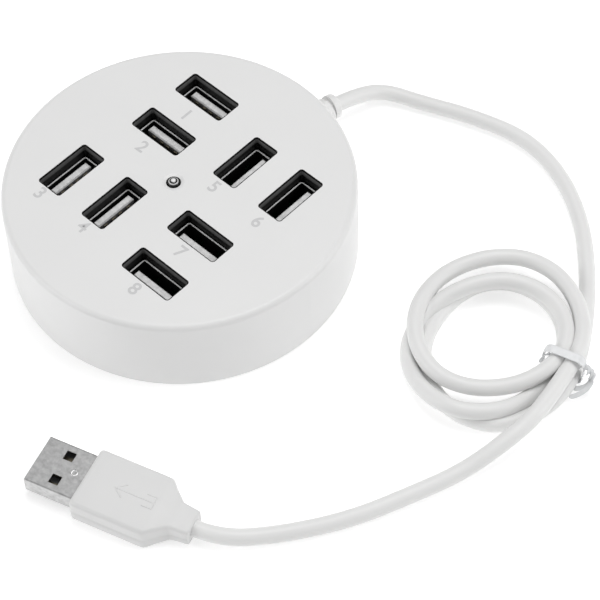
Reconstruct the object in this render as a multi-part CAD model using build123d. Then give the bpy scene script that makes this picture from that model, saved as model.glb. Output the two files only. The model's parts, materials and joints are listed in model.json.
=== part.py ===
"""Round eight-port USB hub with a captive cable, coiled and tied, and a USB-A plug.

Millimetres. +Z is up and the origin is on the surface the hub stands on, under the
middle of the housing. The cable leaves the housing towards +Y.
"""
import math
import os

from build123d import *

# ---------------------------------------------------------------- housing
HUB_HEIGHT = 21.6
HUB_RADIUS_TOP = 40.4
HUB_RADIUS_BOTTOM = 40.65
RIM_FILLET = 1.3
SKIRT_BOTTOM = 0.5
WALL = 2.0
INNER_RADIUS = HUB_RADIUS_TOP - WALL
CEILING = HUB_HEIGHT - WALL

BASE_TOP = SKIRT_BOTTOM + 2.0
BASE_RADIUS = INNER_RADIUS - 0.15

BOSS_RADIUS = 3.0
BOSS_CIRCLE = 34.0
BOSS_ANGLES = (20, 110, 200, 290)
CASE_SCREW_RADIUS = 1.2

FOOT_RADIUS = 4.0
FOOT_HEIGHT = 1.0
FOOT_CIRCLE = 29.0
FOOT_ANGLES = (65, 155, 245, 335)

# ---------------------------------------------------------------- sockets
OPENING_LENGTH = 14.67
OPENING_WIDTH = 7.05
OPENING_CORNER = 0.8
SHROUD_WALL = 0.45
LEAD_IN_WIDTH = 0.25
LEAD_IN_DEPTH = 1.3
SHROUD_DEPTH = 6.0
SHROUD_FLANGE = 1.1
SHELL_LENGTH = 13.1
SHELL_WIDTH = 5.72
SHELL_WALL = 0.3
SHELL_TOP = HUB_HEIGHT - 3.4
TONGUE_LENGTH = 11.1
TONGUE_THICKNESS = 1.84
TONGUE_OFFSET = 0.88
TONGUE_TOP = HUB_HEIGHT - 3.65
CONTACT_PLACES = (-3.5, -1.0, 1.0, 3.5)
CONTACT_WIDTH = 1.0
CONTACT_THICKNESS = 0.25

# number: (centre x, centre y, turn of the socket about Z)
PORT_PITCH = 14.1
PORTS = {
    1: (-13.3, 8.3 + PORT_PITCH, 0),
    2: (-13.3, 8.3, 0),
    3: (-6.6 - PORT_PITCH, -13.9, 90),
    4: (-6.6, -13.9, 90),
    5: (7.0, 14.3, -90),
    6: (7.0 + PORT_PITCH, 14.3, -90),
    7: (14.2, -7.6, 180),
    8: (14.2, -7.6 - PORT_PITCH, 180),
}

# ---------------------------------------------------------------- circuit board
BOARD_TOP = 5.6
BOARD_THICKNESS = 1.6
BOARD_BOTTOM = BOARD_TOP - BOARD_THICKNESS
BOARD_RADIUS = 36.5
BOARD_SCREWS = ((-29.0, 7.8), (28.0, -10.5), (-9.0, -29.5))
CHIP_PLACES = ((29.3, 0.8), (-29.5, -1.5), (0.4, -27.5))
CHIP_SIZE = 7.0
LED_CENTRE = (-1.1, -0.75)
LED_RADIUS = 1.5
LED_TOP = HUB_HEIGHT + 0.75
LED_DISH_RADIUS = 2.5

# ---------------------------------------------------------------- cable
CABLE = 3.8
CABLE_EXIT_X = 0.8
CABLE_EXIT_Z = 6.0
GLAND_RADIUS = 3.1
GLAND_FLANGE = 3.4
GLAND_COLLAR_END = 48.1
GLAND_PIVOT = (0.8, 48.6, 6.0)
GLAND_TIP = (1.2, 50.8, 5.7)
GLAND_WAIST = 2.5

LEAD_ROUTE = [
    (1.2, 50.8, 5.7), (2.35, 57.14, 4.84), (5.0, 64.4, 2.4), (14.4, 68.0, 1.9), (24.8, 72.5, 1.9),
    (39.4, 76.3, 1.9), (52.5, 73.6, 1.9), (64.5, 66.6, 1.9), (74.5, 56.8, 1.9), (82.0, 47.2, 1.9),
    (87.6, 38.6, 2.2),
]
RUN_ROUTE = [
    (92.4, 21.5, 5.7), (93.4, 13.0, 5.7), (92.4, 4.5, 4.8), (89.6, -5.5, 2.1), (85.4, -16.4, 1.9),
    (79.8, -30.0, 1.9), (71.3, -42.8, 1.9), (63.437, -52.652, 3.4), (57.521, -54.506, 3.4),
]

# The tied coil, turn by turn and clockwise: (degrees, distance from the coil's centre, height)
COIL_CENTRE = (71.0, 28.0)
COIL_STATIONS = [
    (10, 20.4, 2.4), (-20, 23.0, 2.1), (-50, 25.4, 1.9), (-75, 23.7, 1.9), (-110, 18.7, 1.9),
    (-150, 13.9, 1.9), (-185, 12.8, 1.9), (-226, 13.9, 1.9), (-280, 14.9, 1.9), (-315, 15.7, 2.0),
    (-347, 16.4, 2.4), (-366, 17.2, 2.4), (-395, 20.9, 3.2), (-427, 25.4, 5.6), (-450, 24.2, 3.8),
    (-485, 20.5, 1.9), (-515, 15.9, 3.1), (-545, 12.5, 4.9), (-575, 11.4, 5.6), (-625, 12.9, 5.6),
    (-670, 15.3, 5.7), (-705, 16.7, 6.1), (-730, 17.0, 6.1), (-770, 17.4, 5.0), (-810, 19.6, 5.4),
    (-850, 18.6, 5.8), (-890, 17.8, 5.0), (-930, 18.55, 4.2), (-975, 20.5, 4.4), (-1020, 19.3, 5.7),
    (-1055, 19.8, 6.1), (-1080, 20.0, 6.1),
]
COIL_HEIGHT = 8.0

TIE_CENTRE = (89.2, 30.4)
TIE_INSIDE = 8.7
TIE_TURN = 12.0
TIE_STRIP = 1.8
TIE_THICKNESS = 0.5

# ---------------------------------------------------------------- plug
PLUG_TIP = (21.26, -65.87)
PLUG_TURN = 17.4
PLUG_WIDTH = 15.5
PLUG_THICKNESS = 6.8
PLUG_FRONT = 11.8
PLUG_SHOULDER = 29.7
PLUG_NECK = 33.8
PLUG_END = 38.0
NECK_WIDTH = 6.6
NECK_THICKNESS = 5.0
PLUG_SHELL_WIDTH = 12.0
PLUG_SHELL_THICKNESS = 4.5
PLUG_SHELL_LENGTH = 15.0
PLUG_WINDOW = 2.3
PLUG_MIDDLE = PLUG_THICKNESS / 2


def on_circle(radius, angle, z=0.0):
    """A point on a circle about the Z axis."""
    turn = math.radians(angle)
    return (radius * math.cos(turn), radius * math.sin(turn), z)


def upright(radius, bottom, top, centre=(0.0, 0.0)):
    """A cylinder along Z between two heights."""
    place = Pos(centre[0], centre[1], bottom)
    return place * Cylinder(radius, top - bottom, align=(Align.CENTER, Align.CENTER, Align.MIN))


def block(size_x, size_y, bottom, top, centre=(0.0, 0.0)):
    """A box centred in plan between two heights."""
    place = Pos(centre[0], centre[1], bottom)
    return place * Box(size_x, size_y, top - bottom, align=(Align.CENTER, Align.CENTER, Align.MIN))


def rounded_block(size_x, size_y, corner, bottom, top):
    """A box with rounded vertical edges between two heights."""
    outline = Pos(0, 0, bottom) * RectangleRounded(size_x, size_y, corner)
    return extrude(outline, top - bottom)


def port_place(number):
    """Where a socket stands: its length is the local X axis, its tongue lies towards local +Y."""
    x, y, turn = PORTS[number]
    return Location((x, y, 0), (0, 0, turn))


def along_y(radius, start, end):
    """A cylinder on the cable's exit axis between two Y places."""
    middle = (start + end) / 2
    place = Location((CABLE_EXIT_X, middle, CABLE_EXIT_Z), (90, 0, 0))
    return place * Cylinder(radius, end - start)


def tube(route, diameter):
    """A round tube along straight runs joined by arcs as large as the runs allow."""
    points = [Vector(*point) for point in route]
    radii = []
    for before, corner, after in zip(points, points[1:], points[2:]):
        turn = (corner - before).get_angle(after - corner)
        shorter = min((corner - before).length, (after - corner).length)
        radii.append(0.45 * shorter / math.tan(math.radians(turn) / 2))
    path = FilletPolyline(*points, radius=radii)
    start = Plane(origin=path @ 0, z_dir=path % 0)
    solid = sweep(start * Circle(diameter / 2), path=path)
    volume = path.length * math.pi * diameter**2 / 4
    print("tube radii", [round(value, 1) for value in radii])
    print("tube length", round(path.length, 1), "volume ratio", round(solid.volume / volume, 4))
    return solid


# ---------------------------------------------------------------- housing parts
def make_top_cover():
    bottom_circle = Pos(0, 0, SKIRT_BOTTOM) * Circle(HUB_RADIUS_BOTTOM)
    shell = loft([bottom_circle, Pos(0, 0, HUB_HEIGHT) * Circle(HUB_RADIUS_TOP)], ruled=True)
    shell = fillet(shell.edges().sort_by(Axis.Z)[-1], RIM_FILLET)
    shell -= upright(INNER_RADIUS, SKIRT_BOTTOM, CEILING)
    for angle in BOSS_ANGLES:
        x, y, _ = on_circle(BOSS_CIRCLE, angle)
        shell += upright(BOSS_RADIUS, BASE_TOP, CEILING, (x, y))
        shell -= upright(CASE_SCREW_RADIUS, BASE_TOP, BASE_TOP + 8.0, (x, y))
    for number in PORTS:
        above = HUB_HEIGHT + 1
        opening = rounded_block(OPENING_LENGTH, OPENING_WIDTH, OPENING_CORNER, CEILING - 1, above)
        shell -= port_place(number) * opening
    dish_sphere = 9.0
    dish_rise = math.sqrt(dish_sphere**2 - LED_DISH_RADIUS**2)
    shell -= Pos(LED_CENTRE[0], LED_CENTRE[1], HUB_HEIGHT + dish_rise) * Sphere(dish_sphere)
    shell -= upright(LED_RADIUS + 0.1, CEILING - 1, HUB_HEIGHT + 1, LED_CENTRE)
    shell -= along_y(GLAND_WAIST, INNER_RADIUS - 2, HUB_RADIUS_BOTTOM + 2)
    slot_middle = (INNER_RADIUS + HUB_RADIUS_BOTTOM) / 2
    shell -= block(2 * GLAND_WAIST, 2 * WALL, 0, CABLE_EXIT_Z, (CABLE_EXIT_X, slot_middle))
    return shell


def make_bottom_cover():
    plate = upright(BASE_RADIUS, SKIRT_BOTTOM, BASE_TOP)
    tab_top = CABLE_EXIT_Z - GLAND_WAIST
    ring = upright(HUB_RADIUS_TOP - 0.2, SKIRT_BOTTOM, tab_top)
    ring -= upright(BASE_RADIUS - 0.1, 0, HUB_HEIGHT)
    tab_middle = (INNER_RADIUS + HUB_RADIUS_BOTTOM) / 2
    plate += ring & block(2 * GLAND_WAIST - 0.2, 8, 0, HUB_HEIGHT, (CABLE_EXIT_X, tab_middle))
    for x, y in BOARD_SCREWS:
        plate += upright(2.6, BASE_TOP, BOARD_BOTTOM, (x, y))
        plate -= upright(0.9, BASE_TOP - 1.2, BOARD_BOTTOM, (x, y))
    for angle in BOSS_ANGLES:
        x, y, _ = on_circle(BOSS_CIRCLE, angle)
        plate -= upright(CASE_SCREW_RADIUS + 0.2, 0, BASE_TOP, (x, y))
        plate -= upright(2.4, 0, SKIRT_BOTTOM + 0.9, (x, y))
    for angle in FOOT_ANGLES:
        x, y, _ = on_circle(FOOT_CIRCLE, angle)
        plate -= upright(FOOT_RADIUS, 0, FOOT_HEIGHT, (x, y))
    return plate


def make_rubber_feet():
    feet = []
    for angle in FOOT_ANGLES:
        x, y, _ = on_circle(FOOT_CIRCLE, angle)
        foot = upright(FOOT_RADIUS, 0, FOOT_HEIGHT, (x, y))
        feet.append(chamfer(foot.edges().sort_by(Axis.Z)[0], 0.2))
    return feet


def screw(radius, head_radius, bottom, head_top, top, centre):
    """A pan head screw that points up, with a cross recess in its head."""
    body = upright(head_radius, bottom, head_top, centre) + upright(radius, head_top, top, centre)
    recess = min(0.5, (head_top - bottom) / 2)
    for size_x, size_y in ((head_radius, 0.5), (0.5, head_radius)):
        body -= block(size_x, size_y, bottom, bottom + recess, centre)
    return body


def make_case_screws():
    screws = []
    for angle in BOSS_ANGLES:
        x, y, _ = on_circle(BOSS_CIRCLE, angle)
        head = SKIRT_BOTTOM + 0.1
        screws.append(screw(CASE_SCREW_RADIUS, 2.1, head, head + 0.8, BASE_TOP + 7.0, (x, y)))
    return screws


def make_board_screws():
    screws = []
    for x, y in BOARD_SCREWS:
        upright_screw = screw(0.9, 1.9, 0, 1.0, 3.4, (0, 0))
        turned = Location((x, y, BOARD_TOP + 1.0), (180, 0, 0)) * upright_screw
        screws.append(turned)
    return screws


# ---------------------------------------------------------------- sockets, each in its own frame
def socket_shroud():
    shroud = rounded_block(
        OPENING_LENGTH, OPENING_WIDTH, OPENING_CORNER, HUB_HEIGHT - SHROUD_DEPTH, HUB_HEIGHT
    )
    flange_length = OPENING_LENGTH + 2 * SHROUD_FLANGE
    flange_width = OPENING_WIDTH + 2 * SHROUD_FLANGE
    shroud += rounded_block(flange_length, flange_width, OPENING_CORNER, CEILING - 1, CEILING)
    inside_length = OPENING_LENGTH - 2 * SHROUD_WALL
    inside_width = OPENING_WIDTH - 2 * SHROUD_WALL
    shroud -= rounded_block(inside_length, inside_width, OPENING_CORNER - 0.3, 0, HUB_HEIGHT + 1)
    bottom = RectangleRounded(inside_length, inside_width, OPENING_CORNER - 0.3)
    mouth_length = inside_length + 2 * LEAD_IN_WIDTH
    mouth = RectangleRounded(mouth_length, inside_width + 2 * LEAD_IN_WIDTH, OPENING_CORNER - 0.2)
    bottom = Pos(0, 0, HUB_HEIGHT - LEAD_IN_DEPTH) * bottom
    return shroud - loft([bottom, Pos(0, 0, HUB_HEIGHT) * mouth])


def socket_shell():
    shell = rounded_block(SHELL_LENGTH, SHELL_WIDTH, 0.6, BOARD_TOP, SHELL_TOP)
    inside_length = SHELL_LENGTH - 2 * SHELL_WALL
    inside_width = SHELL_WIDTH - 2 * SHELL_WALL
    shell -= rounded_block(inside_length, inside_width, 0.3, 0, HUB_HEIGHT)
    spring_window = (BOARD_TOP + 5.0, SHELL_TOP - 2.6)
    for x in (-3.2, 3.2):
        shell -= block(2.6, SHELL_WIDTH + 1, *spring_window, (x, 0))
    for side in (-1, 1):
        leg_x = side * (SHELL_LENGTH - SHELL_WALL) / 2
        shell += block(SHELL_WALL, 2.0, BOARD_BOTTOM - 0.8, BOARD_TOP, (leg_x, 0))
    return shell


def contact_y():
    """The contacts lie on the tongue's face, on the side away from its offset."""
    return TONGUE_OFFSET - TONGUE_THICKNESS / 2 - CONTACT_THICKNESS / 2


def socket_contacts():
    contacts = []
    for x in CONTACT_PLACES:
        tip = TONGUE_TOP - 0.9
        blade = block(CONTACT_WIDTH, CONTACT_THICKNESS, BOARD_TOP + 3, tip, (x, contact_y()))
        pin = block(0.6, CONTACT_THICKNESS, BOARD_BOTTOM - 0.8, BOARD_TOP + 3, (x, contact_y()))
        contacts.append(blade + pin)
    return contacts


def socket_insulator():
    inside_length = SHELL_LENGTH - 2 * SHELL_WALL
    inside_width = SHELL_WIDTH - 2 * SHELL_WALL
    base = rounded_block(inside_length, inside_width, 0.3, BOARD_TOP, BOARD_TOP + 3)
    tongue = block(TONGUE_LENGTH, TONGUE_THICKNESS, BOARD_TOP + 3, TONGUE_TOP, (0, TONGUE_OFFSET))
    tongue = chamfer(tongue.edges().group_by(Axis.Z)[-1], 0.3)
    insulator = base + tongue
    for contact in socket_contacts():
        insulator -= contact
    return insulator


def place_all(solids, location):
    """Copies of some solids moved to one place."""
    return [location * solid for solid in solids]


# ---------------------------------------------------------------- circuit board parts
def make_circuit_board():
    board = upright(BOARD_RADIUS, BOARD_BOTTOM, BOARD_TOP)
    for angle in BOSS_ANGLES:
        x, y, _ = on_circle(BOSS_CIRCLE, angle)
        board -= upright(BOSS_RADIUS + 0.5, 0, HUB_HEIGHT, (x, y))
    for x, y in BOARD_SCREWS:
        board -= upright(1.1, 0, HUB_HEIGHT, (x, y))
    cable_notch = block(11.0, 8.0, 0, HUB_HEIGHT, (CABLE_EXIT_X, 34.5))
    board -= cable_notch
    for number in PORTS:
        holes = [upright(0.5, 0, HUB_HEIGHT, (x, contact_y())) for x in CONTACT_PLACES]
        for side in (-1, 1):
            leg_x = side * (SHELL_LENGTH - SHELL_WALL) / 2
            holes.append(block(0.7, 2.5, 0, HUB_HEIGHT, (leg_x, 0)))
        for hole in place_all(holes, port_place(number)):
            board -= hole
    for offset in (-1.27, 1.27):
        board -= upright(0.35, 0, HUB_HEIGHT, (LED_CENTRE[0] + offset, LED_CENTRE[1]))
    return board


def make_hub_controllers():
    """Flat chips, each with its rows of legs."""
    chips = []
    for x, y in CHIP_PLACES:
        chip = block(CHIP_SIZE, CHIP_SIZE, BOARD_TOP + 0.1, BOARD_TOP + 1.4, (x, y))
        chip = chamfer(chip.edges().group_by(Axis.Z)[-1], 0.15)
        for step in range(-3, 4):
            along = 0.8 * step
            chip += block(CHIP_SIZE + 2, 0.3, BOARD_TOP, BOARD_TOP + 0.3, (x, y + along))
            chip += block(0.3, CHIP_SIZE + 2, BOARD_TOP, BOARD_TOP + 0.3, (x + along, y))
        chips.append(chip)
    return chips


def make_crystals():
    """A quartz crystal can beside each chip."""
    places = ((30.5, -6.2), (-26.0, -8.9), (0.4, -33.7))
    crystals = []
    for x, y in places:
        crystals.append(rounded_block(4.6, 3.0, 0.4, 0, 1.1).moved(Location((x, y, BOARD_TOP))))
    return crystals


def make_capacitors():
    """Two upright electrolytic cans and a row of flat ceramic ones."""
    cans = [upright(2.5, BOARD_TOP, BOARD_TOP + 5.5, place) for place in ((-1.5, 22.5), (-1.2, -12.0))]
    cans = [fillet(can.edges().sort_by(Axis.Z)[-1], 0.4) for can in cans]
    chips = []
    for angle in (40, 52, 150, 165, 218, 230, 318, 330):
        x, y, _ = on_circle(33.0, angle)
        chips.append(block(2.0, 1.25, BOARD_TOP, BOARD_TOP + 0.9, (x, y)))
    return cans + chips


def make_resistors():
    """Small chip resistors in two rows near the middle of the board."""
    resistors = []
    for step in range(5):
        resistors.append(block(1.6, 0.8, BOARD_TOP, BOARD_TOP + 0.5, (3.5, -3.0 + 1.6 * step)))
        resistors.append(block(1.6, 0.8, BOARD_TOP, BOARD_TOP + 0.5, (-6.5, -3.0 + 1.6 * step)))
    return resistors


def make_led_lens():
    rim = upright(LED_RADIUS + 0.25, CEILING - 2.6, CEILING - 1.6, LED_CENTRE)
    barrel = upright(LED_RADIUS, CEILING - 1.6, LED_TOP - LED_RADIUS * 0.8, LED_CENTRE)
    dome = Pos(LED_CENTRE[0], LED_CENTRE[1], LED_TOP - LED_RADIUS * 0.8) * Sphere(LED_RADIUS)
    dome &= upright(LED_RADIUS, LED_TOP - LED_RADIUS * 0.8, LED_TOP - 0.05, LED_CENTRE)
    return rim + barrel + dome


def make_led_leads():
    leads = []
    for offset in (-1.27, 1.27):
        place = (LED_CENTRE[0] + offset, LED_CENTRE[1])
        leads.append(block(0.45, 0.45, BOARD_BOTTOM - 0.8, CEILING - 2.6, place))
    return leads


# ---------------------------------------------------------------- cable parts
def make_strain_relief():
    """A flexible grommet: a flange inside the wall, a collar outside and a tip bent by the cable."""
    inner_flange = along_y(GLAND_FLANGE, INNER_RADIUS - 2.0, INNER_RADIUS - 0.6)
    waist = along_y(GLAND_WAIST, INNER_RADIUS - 0.6, HUB_RADIUS_BOTTOM)
    collar = along_y(GLAND_RADIUS, INNER_RADIUS, GLAND_COLLAR_END)
    collar -= upright(HUB_RADIUS_BOTTOM, 0, HUB_HEIGHT)
    along_tip = Vector(*GLAND_TIP) - Vector(*GLAND_PIVOT)
    bent = Plane(origin=GLAND_PIVOT, z_dir=along_tip)
    core = bent * upright(GLAND_WAIST - 0.3, -1.2, 1.0)
    tip = upright(GLAND_RADIUS, 0.3, along_tip.length)
    tip = fillet(tip.edges().sort_by(Axis.Z)[-1], 0.7)
    return inner_flange + waist + collar + core + bent * tip


def make_cable_tail():
    """The end of the cable's jacket inside the housing."""
    return along_y(CABLE / 2, 31.6, INNER_RADIUS - 2.0)


def make_cable_wires():
    """Four insulated wires from the jacket's end to the board."""
    wires = []
    for step, rise in ((-1.5, 0.0), (-0.5, 0.75), (0.5, 0.75), (1.5, 0.0)):
        start = (CABLE_EXIT_X + 0.75 * step, 31.6, CABLE_EXIT_Z + rise)
        bend = (CABLE_EXIT_X + 0.75 * step, 30.2, CABLE_EXIT_Z + rise)
        end = (CABLE_EXIT_X + 1.6 * step, 26.8, BOARD_TOP + 0.4)
        wires.append(tube([start, bend, end], 0.7))
    return wires


def coil_track(degrees):
    """The coil's distance from its centre and its height at an angle, by smooth interpolation."""
    stations = COIL_STATIONS
    last = len(stations) - 1
    index = 0
    while index < last - 1 and degrees < stations[index + 1][0]:
        index += 1
    (a0, *here), (a1, *there) = stations[index], stations[index + 1]
    before = stations[max(index - 1, 0)]
    after = stations[min(index + 2, last)]
    share = (degrees - a0) / (a1 - a0)
    values = []
    for axis, (low, high) in enumerate(zip(here, there), start=1):
        slope_low = (high - before[axis]) / (a1 - before[0]) * (a1 - a0)
        slope_high = (after[axis] - low) / (after[0] - a0) * (a1 - a0)
        bend_low = share**3 - 2 * share**2 + share
        bend_high = share**3 - share**2
        ease = 3 * share**2 - 2 * share**3
        values.append(low + (high - low) * ease + slope_low * bend_low + slope_high * bend_high)
    return values


def coil_outline(pick, margin):
    """A closed curve round the farthest or nearest of all the turns, a margin away."""
    first = int(COIL_STATIONS[0][0])
    last = int(COIL_STATIONS[-1][0])
    points = []
    for heading in range(0, 360, 15):
        angles = [a for a in range(heading - 1440, first + 1, 360) if last <= a <= first]
        radius = pick(coil_track(angle)[0] for angle in angles) + margin
        x, y, _ = on_circle(radius, heading)
        points.append((COIL_CENTRE[0] + x, COIL_CENTRE[1] + y))
    return Spline(*points, periodic=True)


def make_cable_coil(cutters):
    """The outer shape of the tied turns, cut back where the two free ends lie against it."""
    outside = make_face(coil_outline(max, CABLE / 2))
    inside = make_face(coil_outline(min, -CABLE / 2))
    coil = extrude(outside - inside, COIL_HEIGHT)
    for cutter in cutters:
        coil -= cutter
    return coil


def make_twist_tie():
    """A plastic-coated strip once round the turns, its ends twisted together."""
    height = COIL_HEIGHT + 0.1
    middle = Pos(TIE_CENTRE[0], TIE_CENTRE[1], TIE_THICKNESS + height / 2)
    outside = RectangleRounded(TIE_INSIDE + 2 * TIE_THICKNESS, height + 2 * TIE_THICKNESS, 1.4)
    strip = outside - RectangleRounded(TIE_INSIDE, height, 1.0)
    band = middle * Rot(0, 0, TIE_TURN) * Rot(90, 0, 0) * extrude(strip, TIE_STRIP / 2, both=True)
    reach = TIE_INSIDE / 2 + 0.3
    turn = math.radians(TIE_TURN)
    knot_x = TIE_CENTRE[0] + reach * math.cos(turn)
    knot_y = TIE_CENTRE[1] + reach * math.sin(turn)
    knot = [(knot_x, knot_y, 5.6), (95.6, 31.3, 4.8), (96.3, 28.6, 3.0), (94.4, 25.6, 1.0)]
    return band + tube(knot, 1.5)


# ---------------------------------------------------------------- plug parts, in the plug's own frame
def plug_place():
    return Location((PLUG_TIP[0], PLUG_TIP[1], PLUG_MIDDLE), (0, 0, PLUG_TURN))


def lengthwise(size_y, size_z, start, end, y=0.0, z=0.0):
    """A box along the plug between two places."""
    return Pos((start + end) / 2, y, z) * Box(end - start, size_y, size_z)


def plug_overmold():
    half = PLUG_WIDTH / 2
    neck_half = NECK_WIDTH / 2
    outline = Polyline(
        (PLUG_FRONT, -half), (PLUG_SHOULDER, -half), (PLUG_NECK, -neck_half), (PLUG_NECK, neck_half),
        (PLUG_SHOULDER, half), (PLUG_FRONT, half), close=True,
    )
    body = extrude(make_face(outline), PLUG_THICKNESS / 2, both=True)
    body = fillet(body.edges().filter_by(Axis.Z), 0.9)
    body = fillet(body.edges().group_by(Axis.Z)[-1] + body.edges().group_by(Axis.Z)[0], 0.8)
    neck = lengthwise(NECK_WIDTH, NECK_THICKNESS, PLUG_NECK - 2.0, PLUG_END)
    neck = fillet(neck.edges().filter_by(Axis.X), 1.2)
    body += neck
    body -= lengthwise(PLUG_SHELL_WIDTH, PLUG_SHELL_THICKNESS, PLUG_FRONT - 1, PLUG_SHELL_LENGTH)
    return body


def plug_shell():
    outer = lengthwise(PLUG_SHELL_WIDTH, PLUG_SHELL_THICKNESS, 0, PLUG_SHELL_LENGTH)
    outer = fillet(outer.edges().filter_by(Axis.X), 0.4)
    inner = lengthwise(PLUG_SHELL_WIDTH - 0.6, PLUG_SHELL_THICKNESS - 0.6, -1, PLUG_SHELL_LENGTH + 1)
    shell = outer - inner
    for y in (-3.2, 3.2):
        shell -= lengthwise(PLUG_WINDOW, 10, 6.2 - PLUG_WINDOW / 2, 6.2 + PLUG_WINDOW / 2, y)
    return shell


def plug_contacts():
    floor = -(PLUG_SHELL_THICKNESS - 0.6) / 2 + 1.95
    return [lengthwise(1.0, 0.2, 1.2, 14.0, y, floor + 0.1) for y in CONTACT_PLACES]


def plug_insulator():
    floor = -(PLUG_SHELL_THICKNESS - 0.6) / 2
    tray = lengthwise(PLUG_SHELL_WIDTH - 0.6, 1.95, 0.3, PLUG_SHELL_LENGTH, 0, floor + 0.975)
    back_start = PLUG_SHELL_LENGTH - 3
    back = lengthwise(PLUG_SHELL_WIDTH - 0.6, 1.75, back_start, PLUG_SHELL_LENGTH, 0, floor + 2.825)
    insulator = tray + back
    for contact in plug_contacts():
        insulator -= contact
    return insulator


# ---------------------------------------------------------------- the assembly
def build_nodes():
    """Every named sub-part, as a list of its separate solids."""
    lead = tube(LEAD_ROUTE, CABLE)
    run = tube(RUN_ROUTE, CABLE)
    tie = make_twist_tie()
    nodes = {
        "top_cover": [make_top_cover()],
        "bottom_cover": [make_bottom_cover()],
        "rubber_feet": make_rubber_feet(),
        "case_screws": make_case_screws(),
        "board_screws": make_board_screws(),
        "circuit_board": [make_circuit_board()],
        "hub_controllers": make_hub_controllers(),
        "crystals": make_crystals(),
        "capacitors": make_capacitors(),
        "resistors": make_resistors(),
        "led_lens": [make_led_lens()],
        "led_leads": make_led_leads(),
        "strain_relief": [make_strain_relief()],
        "cable_tail": [make_cable_tail()],
        "cable_wires": make_cable_wires(),
        "cable_lead": [lead],
        "cable_run": [run],
        "cable_coil": [make_cable_coil([lead, run, tie])],
        "twist_tie": [tie],
        "plug_overmold": place_all([plug_overmold()], plug_place()),
        "plug_shell": place_all([plug_shell()], plug_place()),
        "plug_insulator": place_all([plug_insulator()], plug_place()),
        "plug_contacts": place_all(plug_contacts(), plug_place()),
    }
    socket = {
        "shroud": [socket_shroud()],
        "shell": [socket_shell()],
        "insulator": [socket_insulator()],
        "contacts": socket_contacts(),
    }
    for number in PORTS:
        for name, solids in socket.items():
            nodes[f"socket_{name}_{number}"] = place_all(solids, port_place(number))
    return nodes


def main():
    os.makedirs("parts", exist_ok=True)
    for name, solids in build_nodes().items():
        shape = solids[0] if len(solids) == 1 else Compound(children=solids)
        export_step(shape, f"parts/{name}.step")


main()
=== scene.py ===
import json
import math

import bmesh
import bpy
from mathutils import Matrix, Vector


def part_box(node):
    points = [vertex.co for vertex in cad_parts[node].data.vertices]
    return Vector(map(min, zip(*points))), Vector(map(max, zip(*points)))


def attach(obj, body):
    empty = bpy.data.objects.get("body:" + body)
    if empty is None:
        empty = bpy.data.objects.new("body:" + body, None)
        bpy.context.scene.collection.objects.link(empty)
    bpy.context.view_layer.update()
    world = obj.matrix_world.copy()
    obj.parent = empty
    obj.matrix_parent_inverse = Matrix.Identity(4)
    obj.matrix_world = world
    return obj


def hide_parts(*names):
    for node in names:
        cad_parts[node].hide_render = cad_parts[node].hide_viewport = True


MM = 0.001
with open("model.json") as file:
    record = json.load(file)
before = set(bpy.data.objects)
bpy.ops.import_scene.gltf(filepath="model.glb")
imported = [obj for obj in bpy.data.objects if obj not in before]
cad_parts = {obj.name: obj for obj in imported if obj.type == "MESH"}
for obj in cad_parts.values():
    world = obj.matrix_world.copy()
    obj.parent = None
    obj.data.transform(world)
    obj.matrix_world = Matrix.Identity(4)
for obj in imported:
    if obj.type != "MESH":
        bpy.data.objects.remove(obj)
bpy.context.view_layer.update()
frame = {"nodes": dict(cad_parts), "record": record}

# ---------------------------------------------------------------- sizes, in millimetres
CABLE = 3.8
LEAD_ROUTE = [
    (1.2, 50.8, 5.7), (2.35, 57.14, 4.84), (5.0, 64.4, 2.4), (14.4, 68.0, 1.9), (24.8, 72.5, 1.9),
    (39.4, 76.3, 1.9), (52.5, 73.6, 1.9), (64.5, 66.6, 1.9), (74.5, 56.8, 1.9), (82.0, 47.2, 1.9),
    (87.6, 38.6, 2.2),
]
RUN_ROUTE = [
    (92.4, 21.5, 5.7), (93.4, 13.0, 5.7), (92.4, 4.5, 4.8), (89.6, -5.5, 2.1), (85.4, -16.4, 1.9),
    (79.8, -30.0, 1.9), (71.3, -42.8, 1.9), (63.437, -52.652, 3.4), (57.521, -54.506, 3.4),
]
COIL_CENTRE = (71.0, 28.0)
COIL_STATIONS = [
    (10, 20.4, 2.4), (-20, 23.0, 2.1), (-50, 25.4, 1.9), (-75, 23.7, 1.9), (-110, 18.7, 1.9),
    (-150, 13.9, 1.9), (-185, 12.8, 1.9), (-226, 13.9, 1.9), (-280, 14.9, 1.9), (-315, 15.7, 2.0),
    (-347, 16.4, 2.4), (-366, 17.2, 2.4), (-395, 20.9, 3.2), (-427, 25.4, 5.6), (-450, 24.2, 3.8),
    (-485, 20.5, 1.9), (-515, 15.9, 3.1), (-545, 12.5, 4.9), (-575, 11.4, 5.6), (-625, 12.9, 5.6),
    (-670, 15.3, 5.7), (-705, 16.7, 6.1), (-730, 17.0, 6.1), (-770, 17.4, 5.0), (-810, 19.6, 5.4),
    (-850, 18.6, 5.8), (-890, 17.8, 5.0), (-930, 18.55, 4.2), (-975, 20.5, 4.4), (-1020, 19.3, 5.7),
    (-1055, 19.8, 6.1), (-1080, 20.0, 6.1),
]
COIL_STEP = 20
TOP = 21.6
VIEW_TURNS = (44.463, 54.329, -1.64)
VIEW_TARGET = (31.631, 5.628, 0.0)
VIEW_DISTANCE = 494.353
LENS = 129.365
LIGHT_TARGET = (30.0, 5.0, 0.0)
LIGHT_DISTANCE = 1200.0
PLUG_TURN = 17.4
PLUG_MIDDLE = 3.4
PLUG_HALF_LENGTH = 7.5
LENS_RADIUS = 1.48
LENS_FLANGE = 1.74
DOME_RISE = 1.2
NUMBER_SIZE = 4.6

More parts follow.
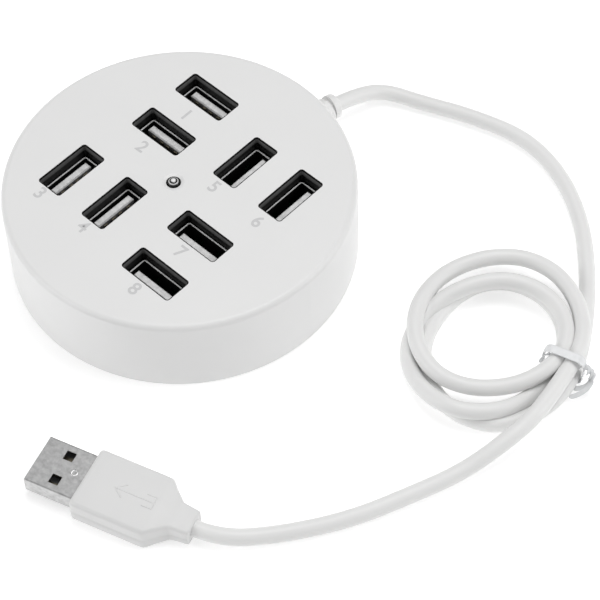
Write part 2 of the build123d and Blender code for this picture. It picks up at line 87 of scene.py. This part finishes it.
TIE_CENTRE = (89.2, 30.4)
TIE_SLANT = 0.3
TIE_WIDTH = 2.2
TIE_END_WIDTH = 1.2
TWIST_WIDTH = 1.4
TWIST_RADIUS = 0.5
TWIST_DEGREES = 700
TIE_FACE = Vector((0.41, -0.41, 0.81))
# Each end as it leaves the twist: along the outside, down and back under the turns
TIE_STRANDS = [
    [
        (96.0, 31.3, 3.4), (96.2, 30.2, 2.9), (96.1, 29.0, 2.4),
        (95.7, 27.9, 2.0), (95.1, 26.8, 1.6), (94.1, 25.7, 1.3),
    ],
    [
        (95.6, 31.6, 3.5), (95.8, 30.9, 3.0), (95.6, 30.0, 2.5),
        (95.0, 29.2, 2.1), (94.3, 28.5, 1.8), (93.4, 28.0, 1.5),
    ],
]
TIE_TWIST = [(92.9, 31.2, 6.4), (93.8, 31.5, 6.0), (94.6, 31.8, 5.2), (95.3, 31.8, 4.4), (95.7, 31.7, 3.7)]
TIE_FOLD = [(86.0, 28.7, 7.2), (85.2, 28.1, 6.8), (84.8, 27.3, 5.8), (84.9, 26.5, 4.8)]


# ---------------------------------------------------------------- camera, lights and floor
def make_camera():
    azimuth, elevation, roll = (math.radians(a) for a in VIEW_TURNS)
    back = Vector((
        math.sin(azimuth) * math.cos(elevation), -math.cos(azimuth) * math.cos(elevation), math.sin(elevation)
    ))
    level = Vector((math.cos(azimuth), math.sin(azimuth), 0.0))
    upward = back.cross(level)
    right = math.cos(roll) * level + math.sin(roll) * upward
    up = -math.sin(roll) * level + math.cos(roll) * upward
    data = bpy.data.cameras.new("camera")
    data.sensor_width = 36.0
    data.lens = LENS
    data.clip_start = 0.01
    camera = bpy.data.objects.new("camera", data)
    turn = Matrix((right, up, back)).transposed().to_4x4()
    camera.matrix_world = Matrix.Translation((Vector(VIEW_TARGET) + back * VIEW_DISTANCE) * MM) @ turn
    bpy.context.scene.collection.objects.link(camera)
    bpy.context.scene.camera = camera


def make_light(name, azimuth, elevation, size, power):
    """A soft box that looks at the hub from a direction; its size is in metres."""
    a, e = math.radians(azimuth), math.radians(elevation)
    back = Vector((math.sin(a) * math.cos(e), -math.cos(a) * math.cos(e), math.sin(e)))
    data = bpy.data.lights.new(name, "AREA")
    data.shape = "DISK"
    data.size = size
    data.energy = power
    light = bpy.data.objects.new(name, data)
    light.location = (Vector(LIGHT_TARGET) + back * LIGHT_DISTANCE) * MM
    light.rotation_euler = back.to_track_quat("Z", "Y").to_euler()
    bpy.context.scene.collection.objects.link(light)


def make_studio():
    scene = bpy.context.scene
    scene.view_settings.view_transform = "Standard"
    world = bpy.data.worlds.new("studio")
    world.use_nodes = True
    world.node_tree.nodes["Background"].inputs["Color"].default_value = (1.0, 1.0, 1.0, 1.0)
    world.node_tree.nodes["Background"].inputs["Strength"].default_value = 0.38
    scene.world = world
    make_light("top_box", 200, 75, 0.9, 6.3)
    make_light("left_box", -30, 26, 0.7, 3.9)
    make_light("right_box", 128, 26, 0.7, 4.0)
    mesh = bpy.data.meshes.new("floor")
    shape = bmesh.new()
    bmesh.ops.create_grid(shape, x_segments=1, y_segments=1, size=4.0)
    shape.to_mesh(mesh)
    shape.free()
    floor = bpy.data.objects.new("floor", mesh)
    floor.location.z = -0.00002
    scene.collection.objects.link(floor)
    paper = bpy.data.materials.new("floor_paper")
    paper.use_nodes = True
    shader = paper.node_tree.nodes["Principled BSDF"]
    shader.inputs["Base Color"].default_value = (0.85, 0.85, 0.85, 1.0)
    shader.inputs["Roughness"].default_value = 0.9
    shader.inputs["Specular IOR Level"].default_value = 0.0
    shader.inputs["Emission Color"].default_value = (1.0, 1.0, 1.0, 1.0)
    shader.inputs["Emission Strength"].default_value = 0.38
    mesh.materials.append(paper)


# ---------------------------------------------------------------- materials
def new_material(name, roughness, metallic=0.0):
    material = bpy.data.materials.new(name)
    material.use_nodes = True
    shader = material.node_tree.nodes["Principled BSDF"]
    shader.inputs["Roughness"].default_value = roughness
    shader.inputs["Metallic"].default_value = metallic
    return material, material.node_tree, shader


def add_noise(tree, scale, detail=3.0):
    """Noise in the object's own space, with waves one over scale metres long."""
    place = tree.nodes.new("ShaderNodeTexCoord")
    noise = tree.nodes.new("ShaderNodeTexNoise")
    noise.inputs["Scale"].default_value = scale
    noise.inputs["Detail"].default_value = detail
    tree.links.new(place.outputs["Object"], noise.inputs["Vector"])
    return noise.outputs["Fac"]


def add_range(tree, value, low, high):
    """The noise's middle band spread between two numbers."""
    spread = tree.nodes.new("ShaderNodeMapRange")
    spread.inputs["From Min"].default_value = 0.3
    spread.inputs["From Max"].default_value = 0.7
    spread.inputs["To Min"].default_value = low
    spread.inputs["To Max"].default_value = high
    tree.links.new(value, spread.inputs["Value"])
    return spread.outputs["Result"]


def add_colour(tree, value, first, second):
    ramp = tree.nodes.new("ShaderNodeValToRGB")
    ramp.color_ramp.elements[0].position = 0.3
    ramp.color_ramp.elements[1].position = 0.7
    ramp.color_ramp.elements[0].color = (*first, 1.0)
    ramp.color_ramp.elements[1].color = (*second, 1.0)
    tree.links.new(value, ramp.inputs["Fac"])
    return ramp.outputs["Color"]


def add_bump(tree, shader, height, depth):
    """A bump of that depth in millimetres."""
    bump = tree.nodes.new("ShaderNodeBump")
    bump.inputs["Distance"].default_value = depth * MM
    bump.inputs["Strength"].default_value = 1.0
    tree.links.new(height, bump.inputs["Height"])
    tree.links.new(bump.outputs["Normal"], shader.inputs["Normal"])


def plastic(name, colour, roughness, grain=0.004, tone=0.015, coat=0.0, soft=0.0):
    """Moulded plastic: a fine spark-eroded grain, slow changes of tone and of gloss."""
    material, tree, shader = new_material(name, roughness)
    darker = tuple(max(c * (1.0 - tone), 0.0) for c in colour)
    tree.links.new(add_colour(tree, add_noise(tree, 60.0), darker, colour), shader.inputs["Base Color"])
    gloss = add_range(tree, add_noise(tree, 300.0), roughness * 0.92, roughness * 1.08)
    tree.links.new(gloss, shader.inputs["Roughness"])
    add_bump(tree, shader, add_noise(tree, 2500.0, 2.0), grain)
    shader.inputs["Coat Weight"].default_value = coat
    shader.inputs["Coat Roughness"].default_value = 0.3
    if soft:
        shader.inputs["Subsurface Weight"].default_value = soft
        shader.inputs["Subsurface Scale"].default_value = 1.2 * MM
        shader.inputs["Subsurface Radius"].default_value = (1.0, 0.95, 0.9)
    return material


def metal(name, colour, roughness):
    """Plated sheet metal with faint stains and changes of gloss."""
    material, tree, shader = new_material(name, roughness, 1.0)
    darker = tuple(c * 0.88 for c in colour)
    tree.links.new(add_colour(tree, add_noise(tree, 500.0, 5.0), darker, colour), shader.inputs["Base Color"])
    marks = add_noise(tree, 3000.0, 4.0)
    tree.links.new(add_range(tree, marks, roughness * 0.75, roughness * 1.3), shader.inputs["Roughness"])
    add_bump(tree, shader, marks, 0.003)
    return material


# Heights above the floor in millimetres, each with the grey painted there as light and shade. A ramp reaches
# to BAND_SCALE.
BAND_SCALE = 25.0
# Port liner: black plastic, with a painted highlight as a lighter grey band on its upper walls just below the
# rim.
LINER_HIGHLIGHT_BANDS = ((0.0, 0.003), (20.1, 0.004), (20.3, 0.09), (21.15, 0.16), (21.3, 0.003))
# Lamp dome: painted highlight rings in white, with painted dark reflection rings between and below them.
LENS_HIGHLIGHT_BANDS = (
    (21.3, 0.004), (21.85, 0.004), (21.92, 0.9), (22.02, 0.9), (22.06, 0.01), (22.2, 0.01), (22.26, 0.95),
)
# Socket shells: bright nickel at the top edge, with painted shade making them nearly black down inside the
# port.
SHELL_SHADE_BANDS = ((0.0, 0.004), (17.8, 0.006), (18.05, 0.012), (18.15, 0.95))
# Plug shell: one nickel, painted lighter on the sides and darker on the top face as painted reflection and
# shade.
PLUG_SHADE_BANDS = ((0.0, 0.7), (5.4, 0.7), (5.6, 0.37))
# Socket tongues: light at the tip, with painted shade darkening them down inside the port.
TONGUE_SHADE_BANDS = ((0.0, 0.06), (6.0, 0.06), (9.0, 0.02), (14.5, 0.06), (16.6, 0.35), (17.9, 0.95))
# Contacts: gold, with painted shade darkening them down inside the port.
CONTACT_SHADE_BANDS = ((0.0, 0.12), (6.0, 0.12), (9.0, 0.02), (14.5, 0.05), (17.2, 0.35))


def banded(name, roughness, metallic, bands, tint=(1.0, 1.0, 1.0), gloss=0.5):
    """A moulding whose grey changes with height, painting in light and shade, with a grain over it."""
    material, tree, shader = new_material(name, roughness, metallic)
    shader.inputs["Specular IOR Level"].default_value = gloss
    place = tree.nodes.new("ShaderNodeTexCoord")
    split = tree.nodes.new("ShaderNodeSeparateXYZ")
    scale = tree.nodes.new("ShaderNodeMath")
    scale.operation = "DIVIDE"
    scale.inputs[1].default_value = BAND_SCALE * MM
    ramp = tree.nodes.new("ShaderNodeValToRGB")
    elements = ramp.color_ramp.elements
    while len(elements) < len(bands):
        elements.new(1.0)
    for element, (height, grey) in zip(elements, bands):
        element.position = height / BAND_SCALE
        element.color = (*(grey * part for part in tint), 1.0)
    mottle = tree.nodes.new("ShaderNodeMixRGB")
    mottle.blend_type = "MULTIPLY"
    mottle.inputs["Fac"].default_value = 1.0
    tree.links.new(place.outputs["Object"], split.inputs["Vector"])
    tree.links.new(split.outputs["Z"], scale.inputs[0])
    tree.links.new(scale.outputs["Value"], ramp.inputs["Fac"])
    tree.links.new(ramp.outputs["Color"], mottle.inputs["Color1"])
    grain = add_colour(tree, add_noise(tree, 900.0, 4.0), (0.72,) * 3, (1.0,) * 3)
    tree.links.new(grain, mottle.inputs["Color2"])
    tree.links.new(mottle.outputs["Color"], shader.inputs["Base Color"])
    add_bump(tree, shader, add_noise(tree, 2500.0, 2.0), 0.004)
    return material


def make_materials():
    """One material for each of the record's slots, and one for the numbers."""
    made = {
        "housing": plastic("housing_plastic", (0.77, 0.77, 0.768), 0.38, coat=0.06, soft=0.04),
        "base": plastic("base_plastic", (0.78, 0.78, 0.775), 0.5),
        "rubber": plastic("foot_rubber", (0.32, 0.32, 0.33), 0.8, grain=0.02, tone=0.1),
        "screw": metal("screw_nickel", (0.62, 0.62, 0.62), 0.3),
        "liner": banded("liner_plastic_painted_highlight", 0.45, 0.0, LINER_HIGHLIGHT_BANDS, gloss=0.15),
        "socket_shell": banded("socket_nickel_painted_shade", 0.5, 0.3, SHELL_SHADE_BANDS),
        "tongue": banded("tongue_plastic_painted_shade", 0.45, 0.0, TONGUE_SHADE_BANDS),
        "contact": banded("contact_gold_painted_shade", 0.35, 0.7, CONTACT_SHADE_BANDS, (1.0, 0.88, 0.65)),
        "board": plastic("board_mask", (0.02, 0.16, 0.06), 0.3, grain=0.01, tone=0.25, coat=0.3),
        "chip": plastic("chip_epoxy", (0.03, 0.03, 0.032), 0.55, tone=0.2),
        "can": metal("can_aluminium", (0.75, 0.75, 0.76), 0.3),
        "wire": plastic("wire_insulation", (0.55, 0.05, 0.04), 0.4),
        "cable": plastic("cable_jacket", (0.79, 0.79, 0.785), 0.42, grain=0.006, tone=0.02, soft=0.05),
        "plug_body": plastic("plug_overmould", (0.71, 0.71, 0.708), 0.45, grain=0.006, soft=0.05),
        "plug_shell": banded("plug_nickel_painted_shade", 0.42, 1.0, PLUG_SHADE_BANDS),
    }
    made["led"] = banded("lens_epoxy_painted_highlights", 0.04, 0.0, LENS_HIGHLIGHT_BANDS)
    strip, tree, shader = new_material("tie_film", 0.22)
    film = add_colour(tree, add_noise(tree, 700.0), (0.84, 0.85, 0.86), (0.93, 0.94, 0.95))
    tree.links.new(film, shader.inputs["Base Color"])
    shader.inputs["Transmission Weight"].default_value = 0.2
    shader.inputs["IOR"].default_value = 1.4
    add_bump(tree, shader, add_noise(tree, 900.0, 3.0), 0.03)
    made["tie"] = strip
    ink, tree, shader = new_material("number_ink", 0.5)
    print_grey = add_colour(tree, add_noise(tree, 900.0), (0.56, 0.56, 0.565), (0.60, 0.60, 0.605))
    tree.links.new(print_grey, shader.inputs["Base Color"])
    made["ink"] = ink
    return made


# ---------------------------------------------------------------- mesh helpers
def add_piece(name, mesh, material):
    piece = bpy.data.objects.new(name, mesh)
    bpy.context.scene.collection.objects.link(piece)
    mesh.materials.append(material)
    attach(piece, "root")
    return piece


def loft_mesh(name, rings, closed_ends=True):
    """A skin over closed rings of points that all have the same count."""
    shape = bmesh.new()
    rows = [[shape.verts.new(Vector(point) * MM) for point in ring] for ring in rings]
    count = len(rows[0])
    for low, high in zip(rows, rows[1:]):
        for i in range(count):
            j = (i + 1) % count
            shape.faces.new((low[i], low[j], high[j], high[i]))
    if closed_ends:
        shape.faces.new(list(reversed(rows[0])))
        shape.faces.new(rows[-1])
    bmesh.ops.recalc_face_normals(shape, faces=shape.faces)
    for face in shape.faces:
        face.smooth = True
    mesh = bpy.data.meshes.new(name)
    shape.to_mesh(mesh)
    shape.free()
    return mesh


# ---------------------------------------------------------------- cable
def coil_track(degrees):
    """The coil's distance from its centre and its height at an angle, by smooth interpolation."""
    stations = COIL_STATIONS
    last = len(stations) - 1
    index = 0
    while index < last - 1 and degrees < stations[index + 1][0]:
        index += 1
    (a0, *here), (a1, *there) = stations[index], stations[index + 1]
    before = stations[max(index - 1, 0)]
    after = stations[min(index + 2, last)]
    share = (degrees - a0) / (a1 - a0)
    values = []
    for axis, (low, high) in enumerate(zip(here, there), start=1):
        slope_low = (high - before[axis]) / (a1 - before[0]) * (a1 - a0)
        slope_high = (after[axis] - low) / (after[0] - a0) * (a1 - a0)
        bend_low = share**3 - 2 * share**2 + share
        bend_high = share**3 - share**2
        ease = 3 * share**2 - 2 * share**3
        values.append(low + (high - low) * ease + slope_low * bend_low + slope_high * bend_high)
    return values


def coil_points():
    points = []
    first, last = COIL_STATIONS[0][0], COIL_STATIONS[-1][0]
    for degrees in range(first, last - 1, -COIL_STEP):
        radius, height = coil_track(degrees)
        turn = math.radians(degrees)
        points.append((
            COIL_CENTRE[0] + radius * math.cos(turn), COIL_CENTRE[1] + radius * math.sin(turn), height
        ))
    return points


def make_curve(name, points, radius, material):
    """A round tube along a smooth line that leaves its first point and ends in its last."""
    data = bpy.data.curves.new(name, "CURVE")
    data.dimensions = "3D"
    spline = data.splines.new("NURBS")
    spline.points.add(len(points) - 1)
    for held, point in zip(spline.points, points):
        held.co = (*(Vector(point) * MM), 1.0)
    spline.order_u = 3
    spline.use_endpoint_u = True
    spline.resolution_u = 12
    spline.use_smooth = True
    data.bevel_depth = radius * MM
    data.bevel_resolution = 7
    data.use_fill_caps = True
    data.materials.append(material)
    piece = bpy.data.objects.new(name, data)
    bpy.context.scene.collection.objects.link(piece)
    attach(piece, "root")
    return piece


# ---------------------------------------------------------------- twist tie
def ribbon_mesh(name, centre_line, widths, directions, thickness):
    """A flat strip with a wire rib in its middle; each direction is the way its width lies there."""
    outline = (
        (-1, 0.35), (-0.45, 0.45), (0, 1.0), (0.45, 0.45), (1, 0.35), (1, -0.35), (0, -0.45), (-1, -0.35),
    )
    rings = []
    for i, point in enumerate(centre_line):
        here = Vector(point)
        ahead = Vector(centre_line[min(i + 1, len(centre_line) - 1)])
        behind = Vector(centre_line[max(i - 1, 0)])
        along = (ahead - behind).normalized()
        across = Vector(directions[i])
        across = (across - along * across.dot(along)).normalized()
        normal = along.cross(across)
        ring = []
        for u, v in outline:
            ring.append(here + across * (u * widths[i] / 2) + normal * (v * thickness))
        rings.append(ring)
    return loft_mesh(name, rings)


def along_line(points, share):
    """A point a share of the way along straight runs of equal weight."""
    place = share * (len(points) - 1)
    index = min(int(place), len(points) - 2)
    return Vector(points[index]).lerp(Vector(points[index + 1]), place - index)


def tie_loop(inner, outer, bottom, top):
    """The closed path of the strip round the turns, rounded at its corners and set square to the cable."""
    corner = 1.9
    cx, cy = TIE_CENTRE
    corners = (
        (0, outer - corner, top - corner), (90, corner - inner, top - corner),
        (180, corner - inner, bottom + corner), (270, outer - corner, bottom + corner),
    )
    loop = []
    for start, ox, oz in corners:
        for step in range(0, 91, 15):
            turn = math.radians(start + step)
            out = ox + corner * math.cos(turn)
            loop.append((cx + out, cy + TIE_SLANT * (out - 1.0), oz + corner * math.sin(turn)))
    return loop + [loop[0]]


def flat_directions(line):
    """The way a strip's width lies when its flat side faces up and outwards."""
    ahead = line[1:] + [line[-1] * 2 - line[-2]]
    return [(after - here).cross(TIE_FACE) for here, after in zip(line, ahead)]


def make_tie(material):
    """The coated strip goes once round the turns, is twisted at the outer side and its ends curl back."""
    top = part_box("twist_tie")[1].z / MM - 0.42
    loop = tie_loop(4.9, 4.3, 0.3, top)
    across = [(-TIE_SLANT, 1.0, 0.05)] * len(loop)
    band = ribbon_mesh("tie_band", loop, [TIE_WIDTH] * len(loop), across, 0.3)
    pieces = [add_piece("tie_band", band, material)]
    axis = (Vector(TIE_TWIST[-1]) - Vector(TIE_TWIST[0])).normalized()
    first = axis.cross(TIE_FACE).normalized()
    second = axis.cross(first)
    steps = 20
    for strand, tail in enumerate(TIE_STRANDS):
        twist, directions = [], []
        for i in range(steps + 1):
            turn = math.radians(TWIST_DEGREES * i / steps + 180 * strand)
            side = first * math.cos(turn) + second * math.sin(turn)
            twist.append(along_line(TIE_TWIST, i / steps) + side * TWIST_RADIUS)
            directions.append(side + axis * 0.3)
        tail = [Vector(point) for point in tail]
        line = twist + tail
        directions += flat_directions(tail)
        widths = [TWIST_WIDTH] * len(twist) + [TIE_END_WIDTH] * len(tail)
        mesh = ribbon_mesh(f"tie_end_{strand}", line, widths, directions, 0.25)
        pieces.append(add_piece(f"tie_end_{strand}", mesh, material))
    mesh = ribbon_mesh("tie_fold", TIE_FOLD, [TIE_END_WIDTH] * 4, [Vector((0.3, 1.0, 0.3))] * 4, 0.3)
    pieces.append(add_piece("tie_fold", mesh, material))
    for piece in pieces:
        smooth = piece.modifiers.new("smooth", "SUBSURF")
        smooth.levels = 1
        smooth.render_levels = 2
    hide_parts("twist_tie")
    return pieces


# ---------------------------------------------------------------- indicator light
def turned_mesh(name, profile, centre, closed_ends=True, count=48):
    """A turned shape from (radius, height) pairs."""
    rings = []
    for radius, height in profile:
        ring = []
        for step in range(count):
            turn = 2 * math.pi * step / count
            ring.append((centre[0] + radius * math.cos(turn), centre[1] + radius * math.sin(turn), height))
        rings.append(ring)
    return loft_mesh(name, rings, closed_ends)


def make_indicator(materials):
    """A small domed lamp with painted highlight rings, in a dark ring that stands for the shadowed gap round
    it.
    """
    low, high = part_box("led_lens")
    centre = ((low.x + high.x) / 2 / MM, (low.y + high.y) / 2 / MM)
    top = high.z / MM
    dome = []
    for degrees in range(0, 90, 6):
        turn = math.radians(degrees)
        dome.append((LENS_RADIUS * math.cos(turn), top - DOME_RISE + DOME_RISE * math.sin(turn)))
    foot = low.z / MM
    profile = [(LENS_FLANGE, foot), (LENS_FLANGE, foot + 1.0), (LENS_RADIUS, foot + 1.0), *dome]
    mesh = turned_mesh("led_lens_dome", profile, centre)
    lens = add_piece("led_lens_dome", mesh, materials["led"])
    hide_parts("led_lens")
    # Painted shade: a dark ring in the liner's material where the gap round the lens lies in shadow.
    shadow_ring = [(1.5, TOP - 0.5), (1.5, TOP - 0.16), (1.62, TOP - 0.1), (1.7, TOP - 0.16), (1.72, TOP - 0.4)]
    add_piece("led_shadow_ring", turned_mesh("led_shadow_ring", shadow_ring, centre, False), materials["liner"])


# ---------------------------------------------------------------- plug
def plug_matrix():
    """From the plug's own frame, its tip at the origin and its cable towards +X, to the row frame."""
    turn = math.radians(PLUG_TURN)
    low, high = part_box("plug_shell")
    middle = (low + high) / 2
    place = middle - Vector((math.cos(turn), math.sin(turn), 0)) * PLUG_HALF_LENGTH * MM
    place.z = PLUG_MIDDLE * MM
    return Matrix.Translation(place) @ Matrix.Rotation(turn, 4, "Z")


PLUG_DIMPLE = (9.1, 0.0, 2.25)
OVERMOLD_STATIONS = [
    # place, half width, half thickness, rounding
    (11.8, 7.1, 2.75, 0.9), (11.87, 7.35, 3.0, 0.95), (12.05, 7.55, 3.2, 1.0), (12.4, 7.7, 3.35, 1.05),
    (12.9, 7.75, 3.4, 1.1), (16.0, 7.75, 3.4, 1.1), (20.0, 7.75, 3.4, 1.1), (24.0, 7.75, 3.4, 1.1),
    (28.2, 7.75, 3.4, 1.1), (29.0, 7.73, 3.4, 1.1), (29.5, 7.55, 3.39, 1.1), (30.0, 7.15, 3.37, 1.1),
    (30.6, 6.55, 3.32, 1.1), (31.6, 5.55, 3.2, 1.05), (32.7, 4.6, 3.05, 1.0), (33.3, 4.05, 2.9, 0.95),
    (33.8, 3.72, 2.8, 0.9), (34.4, 3.6, 2.72, 0.85), (36.0, 3.42, 2.6, 0.8), (37.5, 3.28, 2.52, 0.75),
    (37.85, 3.2, 2.45, 0.7), (38.0, 3.0, 2.3, 0.6),
]


def overmold_section(place, half, rise, rounding):
    """A rounded slab whose upper half steps in above the parting line."""
    upper = []
    step = 0.14 * min(1.0, half / 7.6)
    inner = half - step
    for degrees in range(0, 91, 15):
        turn = math.radians(degrees)
        reach = rounding * 0.9
        upper.append((inner - reach + reach * math.cos(turn), rise - rounding + rounding * math.sin(turn)))
    side = [(half, -rise + rounding), (half, -0.32), (half - 0.12, -0.12), (inner, -0.04), (inner, 0.3)]
    lower = []
    for degrees in range(0, 91, 15):
        turn = math.radians(degrees)
        out, up = math.sin(turn) - 1.0, 1.0 - math.cos(turn)
        lower.append((half + rounding * out, -rise + rounding * up))
    right = lower[:-1] + side + upper
    left = [(-y, z) for y, z in reversed(right)]
    return [(place, y, z) for y, z in right + left]


def make_plug(materials):
    place = plug_matrix()
    mesh = loft_mesh("plug_overmould", [overmold_section(*station) for station in OVERMOLD_STATIONS])
    body = add_piece("plug_overmould", mesh, materials["plug_body"])
    body.matrix_world = place
    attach(body, "root")
    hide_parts("plug_overmold")
    edge = body.modifiers.new("edges", "EDGE_SPLIT")
    edge.split_angle = math.radians(50)
    mark = make_mark(place, materials["plug_body"])
    ring = [(0.45, 0.0), (0.5, 0.05), (0.8, 0.05), (0.85, 0.0), (0.85, -0.1), (0.45, -0.1), (0.45, 0.0)]
    mesh = turned_mesh("plug_dimple", ring, (0.0, 0.0), False, 24)
    dimple = add_piece("plug_dimple", mesh, materials["screw"])
    dimple.matrix_world = place @ Matrix.Translation(Vector(PLUG_DIMPLE) * MM)
    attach(dimple, "root")
    return [body, mark, dimple]


def make_mark(place, material):
    """A plain moulded arrow that points to the plug's tip, a hair above the top."""
    data = bpy.data.curves.new("plug_mark", "CURVE")
    data.dimensions = "3D"
    strokes = [
        [(19.2, 0.0), (28.2, 0.0)],
        [(21.4, 1.7), (19.2, 0.0), (21.4, -1.7)],
        [(26.2, 1.5), (28.6, 1.5), (28.6, -1.5), (26.2, -1.5)],
    ]
    for stroke in strokes:
        spline = data.splines.new("POLY")
        spline.points.add(len(stroke) - 1)
        for held, (x, y) in zip(spline.points, stroke):
            held.co = (x * MM, y * MM, 3.37 * MM, 1.0)
    data.bevel_depth = 0.13 * MM
    data.bevel_resolution = 3
    data.use_fill_caps = True
    data.materials.append(material)
    mark = bpy.data.objects.new("plug_mark", data)
    bpy.context.scene.collection.objects.link(mark)
    mark.matrix_world = place
    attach(mark, "root")
    return mark


# ---------------------------------------------------------------- numbers
NUMBER_PLACES = {
    1: (-13.0, 15.2), 2: (-13.7, 1.6), 3: (-21.1, -23.4), 4: (-6.9, -23.5),
    5: (6.7, 4.35), 6: (20.8, 3.7), 7: (14.0, -13.8), 8: (13.8, -27.7),
}


def make_numbers(material):
    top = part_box("top_cover")[1].z
    for number, (x, y) in NUMBER_PLACES.items():
        data = bpy.data.curves.new(f"number_{number}", "FONT")
        data.body = str(number)
        data.size = NUMBER_SIZE * MM
        data.align_x = "CENTER"
        data.align_y = "CENTER"
        data.extrude = 0.004 * MM
        data.offset = 0.09 * MM
        data.materials.append(material)
        digit = bpy.data.objects.new(f"number_{number}", data)
        digit.location = (x * MM, y * MM, top + 0.008 * MM)
        bpy.context.scene.collection.objects.link(digit)
        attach(digit, "root")


def paint_cad(materials):
    """Each CAD node gets the material of its slot."""
    for subpart in frame["record"]["subparts"]:
        piece = frame["nodes"][subpart["node"]]
        piece.data.materials.clear()
        piece.data.materials.append(materials[subpart["material_slot"]])


def main():
    make_camera()
    make_studio()
    materials = make_materials()
    route = LEAD_ROUTE + coil_points() + RUN_ROUTE
    cable = make_curve("cable", route, CABLE / 2, materials["cable"])
    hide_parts("cable_lead", "cable_coil", "cable_run")
    paint_cad(materials)
    tie = make_tie(materials["tie"])
    plug = make_plug(materials)
    make_indicator(materials)
    make_numbers(materials["ink"])


main()
